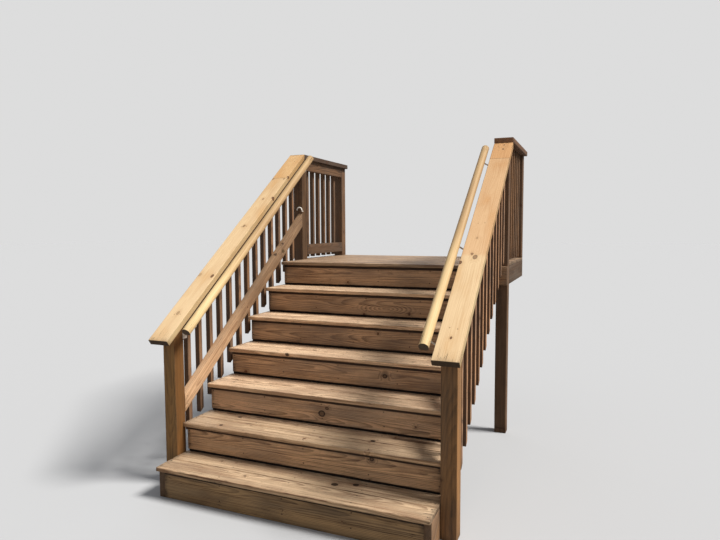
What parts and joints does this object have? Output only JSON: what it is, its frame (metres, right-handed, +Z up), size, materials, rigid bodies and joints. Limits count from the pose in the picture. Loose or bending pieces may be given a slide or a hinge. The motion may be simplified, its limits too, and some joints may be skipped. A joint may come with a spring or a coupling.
{
  "type": "wooden deck stairs",
  "caption": "Straight flight of wooden deck stairs with closed risers, a landing, baluster guards with sloping caps and round handrails on both sides.",
  "frame": {"origin": "on the ground at the middle of the footprint", "axes": "+X to the right across the treads for someone walking up, +Y up the stairs towards the wall, +Z up"},
  "size_m": [1.878, 2.754, 2.242],
  "materials": {
    "tread_boards": "weathered, satin",
    "riser_boards": "weathered, satin",
    "cap_planks": "weathered, satin",
    "handrail_wood": "smooth, satin",
    "posts": "weathered, satin",
    "rails": "weathered, satin",
    "balusters": "weathered, satin",
    "framing": "sawn, matte",
    "bracket_metal": "gloss"
  },
  "bodies": {
    "root": {"landing_boards": "tread_boards", "landing_front_rim": "framing", "landing_joists": "framing", "landing_ledger": "framing", "left_handrail": "handrail_wood", "left_handrail_brackets": "bracket_metal", "left_inner_stringer": "framing", "left_landing_rim": "framing", "left_lower_sloping_rail": "rails", "left_return_balusters": "balusters", "left_return_bottom_rail": "rails", "left_return_cap": "cap_planks", "left_return_top_rail": "rails", "left_sloping_balusters": "balusters", "left_sloping_cap": "cap_planks", "left_stringer": "framing", "left_upper_sloping_rail": "rails", "lower_left_post": "posts", "lower_right_post": "posts", "middle_stringer": "framing", "right_handrail": "handrail_wood", "right_handrail_brackets": "bracket_metal", "right_inner_stringer": "framing", "right_landing_rim": "framing", "right_lower_sloping_rail": "rails", "right_return_balusters": "balusters", "right_return_bottom_rail": "rails", "right_return_cap": "cap_planks", "right_return_top_rail": "rails", "right_sloping_balusters": "balusters", "right_sloping_cap": "cap_planks", "right_stringer": "framing", "right_upper_sloping_rail": "rails", "risers": "riser_boards", "tread_1": "tread_boards", "tread_2": "tread_boards", "tread_3": "tread_boards", "tread_4": "tread_boards", "tread_5": "tread_boards", "tread_6": "tread_boards", "upper_left_post": "posts", "upper_right_post": "posts", "wall_left_post": "posts", "wall_right_post": "posts"}
  },
  "joints": []
}
